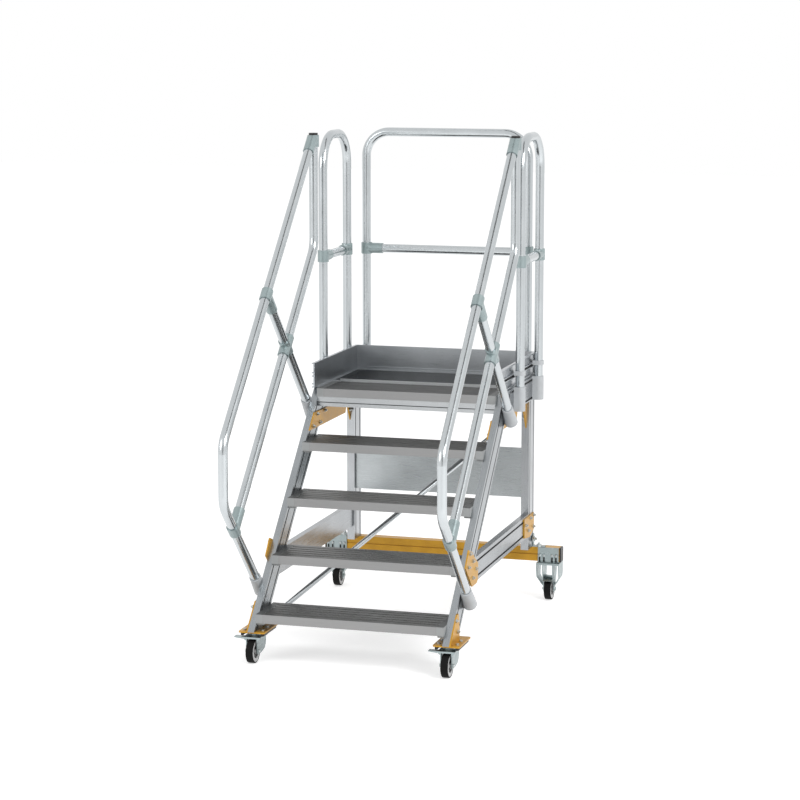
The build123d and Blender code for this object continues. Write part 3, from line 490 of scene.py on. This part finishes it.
for side_name, side in sides:
    outward, inward = (side, 0, 0), (-side, 0, 0)
    plate_bolts(f"joint_bolts_{side_name}", side * plate_face, joint_bolts + rear_joint_bolts, outward)
    plate_bolts(f"gusset_bolts_{side_name}", side * stair_gusset_face, stair_gusset_bolts, inward)
    plate_bolts(f"post_gusset_bolts_{side_name}", side * post_gusset_face, post_gusset_bolts, inward)
    plate_bolts(f"ear_bolts_{side_name}", side * plate_face, ear_bolts, outward)
    bolts(
        f"base_plate_bolts_{side_name}",
        [at(side * front_wheel_x + x, y, base_plate_top) for x, y in base_plate_bolts],
        along_z, bolt_size, "frame",
    )
    bolts(
        f"bracket_bolt_{side_name}", [at(side * bracket_face, bracket_y, 0.288)],
        outward, bracket_bolt_size, "frame", nut_and_thread,
    )
    bolts(
        f"bracket_floor_bolt_{side_name}", [at(side * bracket_floor_x, bracket_y, 0.253)],
        along_z, bracket_bolt_size, "frame", nut_and_thread,
    )
    axle_nuts(f"axle_nut_{side_name}", side, side * front_wheel_x, front_wheel_y, f"fork_{side_name}")
    axle_nuts(f"rear_axle_nut_{side_name}", side, side * rear_wheel_x, rear_wheel_y, "frame")
    beads, shade_marks, screws = [], [], []
    for turn, face in saddle_faces:
        for column in saddle_columns:
            x = side * rear_wheel_x + column
            beads.append(bead(
                at(x, face, bead_z), (0, turn, 0), along_z, bead_half_width, bead_half_length, bead_height,
            ))
            # Painted shade: a flat black mark on the bead under each screw.
            shade_marks.append(bead(
                at(x, face + turn * bead_height, shade_mark_z), (0, turn, 0), along_z,
                shade_mark_half_width, shade_mark_half_length, shade_mark_height,
            ))
            screws.append(at(x, face + turn * screw_seat, screw_z))
    surface(f"saddle_beads_{side_name}", beads, "frame", zinc_plate)
    surface(f"saddle_shade_marks_{side_name}", shade_marks, "frame", slot_shadow)
    columns = len(saddle_columns)
    bolts(
        f"saddle_bolts_front_{side_name}", screws[:columns], (0, -1, 0), saddle_screw_size, "frame", dome_bolt,
    )
    bolts(
        f"saddle_bolts_rear_{side_name}", screws[columns:], along_y, saddle_screw_size, "frame", dome_bolt,
    )


# Shadow deep in the open slots of the profiles
profile_floor = 0.4305
inner_floor = 0.4105
post_inner_floor = 0.4025
board_face = 0.4265
slot_width, board_slot_width, seam_width, beam_slot_width = 0.0086, 0.0106, 0.0016, 0.0036
end_gap = 0.0005
stair_low, stair_high = 0.142, 1.033
seam_floor_z = 1.038
beam_slot_z, beam_slot_depth = 0.977, 0.004
side_slots = (
    (0.945, 1.4785, 0.948), (1.027, 1.4785, 1.030),
    (0.332, 1.3595, 0.333), (0.396, 1.3595, 0.397),
)
board_slot = (0.8445, 1.4785, 1.0985)
front_slot_y, rear_slot_y = 1.380, 1.444
post_low, panel_low, panel_high, post_high = 0.2485, 0.4895, 0.7205, 0.9375


def slope_line(height, inset):
    """Place along the stair of a line of the stringers at a height, this far behind their front face."""
    return height - 0.158 + inset * math.sqrt(2.0)


for side_name, side in sides:
    outward, inward = (side, 0, 0), (-side, 0, 0)
    shadows = [
        strip(at(side * profile_floor, first, z), at(side * profile_floor, last, z), outward, slot_width)
        for first, last, z in side_slots
    ]
    first, last, z = board_slot
    shadows.append(strip(at(side * board_face, first, z), at(side * board_face, last, z), outward, board_slot_width))
    for inset in (0.020, 0.085):
        for x, face in ((profile_floor, outward), (inner_floor, inward)):
            low_end, high_end = (at(side * x, slope_line(z, inset), z) for z in (stair_low, stair_high))
            shadows.append(strip(low_end, high_end, face, slot_width))
    for x, y, face, low_end, high_end in (
        (profile_floor, front_slot_y, outward, post_low, post_high),
        (profile_floor, rear_slot_y, outward, post_low, post_high),
        (post_inner_floor, front_slot_y, inward, post_low, panel_low),
        (post_inner_floor, front_slot_y, inward, panel_high, post_high),
        (post_inner_floor, rear_slot_y, inward, post_low, post_high),
    ):
        shadows.append(strip(at(side * x, y, low_end), at(side * x, y, high_end), face, slot_width))
    deck_low, deck_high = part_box("deck")
    shadows.append(strip(
        (side * deck_seam_x, deck_low[1] + end_gap, seam_floor_z),
        (side * deck_seam_x, deck_high[1] - end_gap, seam_floor_z),
        along_z, seam_width,
    ))
    surface(f"slot_shadow_{side_name}", shadows, "frame", slot_shadow, False)

beam_low, beam_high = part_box("platform_front_beam")
beam_slot_floor = beam_low[1] + beam_slot_depth
beam_shadow = strip(
    (beam_low[0] + end_gap, beam_slot_floor, beam_slot_z),
    (beam_high[0] - end_gap, beam_slot_floor, beam_slot_z),
    (0, -1, 0), beam_slot_width,
)
surface("slot_shadow_front", [beam_shadow], "frame", shallow_shadow, False)


# Dark dished middles of the wheels
disc_inset = 0.0085
disc_profile = [
    (0.0, 0.0115), (0.0006, 0.0115), (0.0006, 0.016), (0.0020, 0.019), (0.0026, 0.0225), (0.0014, 0.0265),
    (0.0014, 0.0298), (0.0, 0.0298),
]
wheel_places = {
    f"{end}_{side_name}": at(side * x, y, wheel_centre)
    for side_name, side in sides
    for end, x, y in (("front", front_wheel_x, front_wheel_y), ("rear", rear_wheel_x, rear_wheel_y))
}
for label, place in wheel_places.items():
    discs = [
        turned(disc_profile, (place[0] + turn * disc_inset, place[1], place[2]), (turn, 0, 0), 64)
        for turn in (-1, 1)
    ]
    surface(f"wheel_discs_{label}", discs, f"wheel_{label}", black_plastic)


# Floor and light
def seen_directly(tree):
    """1 for what the camera sees by itself, in a reflection or through glass, otherwise 0."""
    rays = tree.nodes.new("ShaderNodeLightPath")
    seen = rays.outputs["Is Camera Ray"]
    for name in ("Is Glossy Ray", "Is Transmission Ray"):
        largest = tree.nodes.new("ShaderNodeMath")
        largest.operation = "MAXIMUM"
        tree.links.new(seen, largest.inputs[0])
        tree.links.new(rays.outputs[name], largest.inputs[1])
        seen = largest.outputs[0]
    return seen


def stage_floor(glow, size=60.0):
    """Plain pale floor that keeps the shadow and otherwise shows as white."""
    mesh = bpy.data.meshes.new("floor")
    half = size / 2
    corners = [(-half, -half, 0.0), (half, -half, 0.0), (half, half, 0.0), (-half, half, 0.0)]
    mesh.from_pydata(corners, [], [(0, 1, 2, 3)])
    floor = bpy.data.objects.new("floor", mesh)
    bpy.context.scene.collection.objects.link(floor)
    finish = Finish("floor_paint", (0.8, 0.8, 0.8), 0.0, 0.9, 0.0)
    finish.shader.inputs["Emission Color"].default_value = (1.0, 1.0, 1.0, 1.0)
    seen = seen_directly(finish.tree)
    finish.put(finish.shader.inputs["Emission Strength"], finish.between(seen, 0.0, glow))
    mesh.materials.append(finish.material)


def black_flag(name, place, target, width, height):
    """Dark board that shows only in reflections, as the gap between two soft boxes does."""
    mesh = bpy.data.meshes.new(name)
    corners = [(x * width / 2, y * height / 2, 0.0) for x, y in ((-1, -1), (1, -1), (1, 1), (-1, 1))]
    mesh.from_pydata(corners, [], [(0, 1, 2, 3)])
    mesh.materials.append(Finish(name, (0.02, 0.02, 0.02), 0.0, 0.9, 0.0).material)
    flag = bpy.data.objects.new(name, mesh)
    flag.location = place
    flag.rotation_mode = "QUATERNION"
    flag.rotation_quaternion = (Vector(target) - Vector(place)).to_track_quat("-Z", "Y")
    flag.visible_camera = False
    flag.visible_diffuse = False
    flag.visible_shadow = False
    flag.visible_transmission = False
    bpy.context.scene.collection.objects.link(flag)


def area_light(name, place, target, size, power):
    """Soft square lamp that looks at a point."""
    data = bpy.data.lights.new(name, "AREA")
    data.shape = "SQUARE"
    data.size = size
    data.energy = power
    lamp = bpy.data.objects.new(name, data)
    lamp.location = place
    lamp.rotation_mode = "QUATERNION"
    lamp.rotation_quaternion = (Vector(target) - Vector(place)).to_track_quat("-Z", "Y")
    bpy.context.scene.collection.objects.link(lamp)


def world_light(white, fill):
    """White backdrop for the camera, reflections and glass, and a softer fill for the rest."""
    world = bpy.data.worlds.new("studio")
    bpy.context.scene.world = world
    world.use_nodes = True
    tree = world.node_tree
    background = tree.nodes["Background"]
    strength = tree.nodes.new("ShaderNodeMapRange")
    tree.links.new(seen_directly(tree), strength.inputs["Value"])
    strength.inputs["To Min"].default_value = fill
    strength.inputs["To Max"].default_value = white
    background.inputs["Color"].default_value = (1.0, 1.0, 1.0, 1.0)
    tree.links.new(strength.outputs["Result"], background.inputs["Strength"])


stage_floor(0.5)
world_light(1.0, 0.75)
area_light("key", (5.0, -3.0, 5.0), (0.0, 0.0, 0.9), 3.0, 260.0)
area_light("fill", (-4.5, -5.0, 3.5), (0.0, 0.0, 1.0), 3.0, 90.0)

black_flag("flag_behind", camera_place + camera_back * 2.0, (0.0, 0.0, 1.0), 3.6, 9.0)
black_flag("flag_above", (1.9, -1.5, 7.0), (0.3, 0.1, 1.3), 1.3, 9.0)
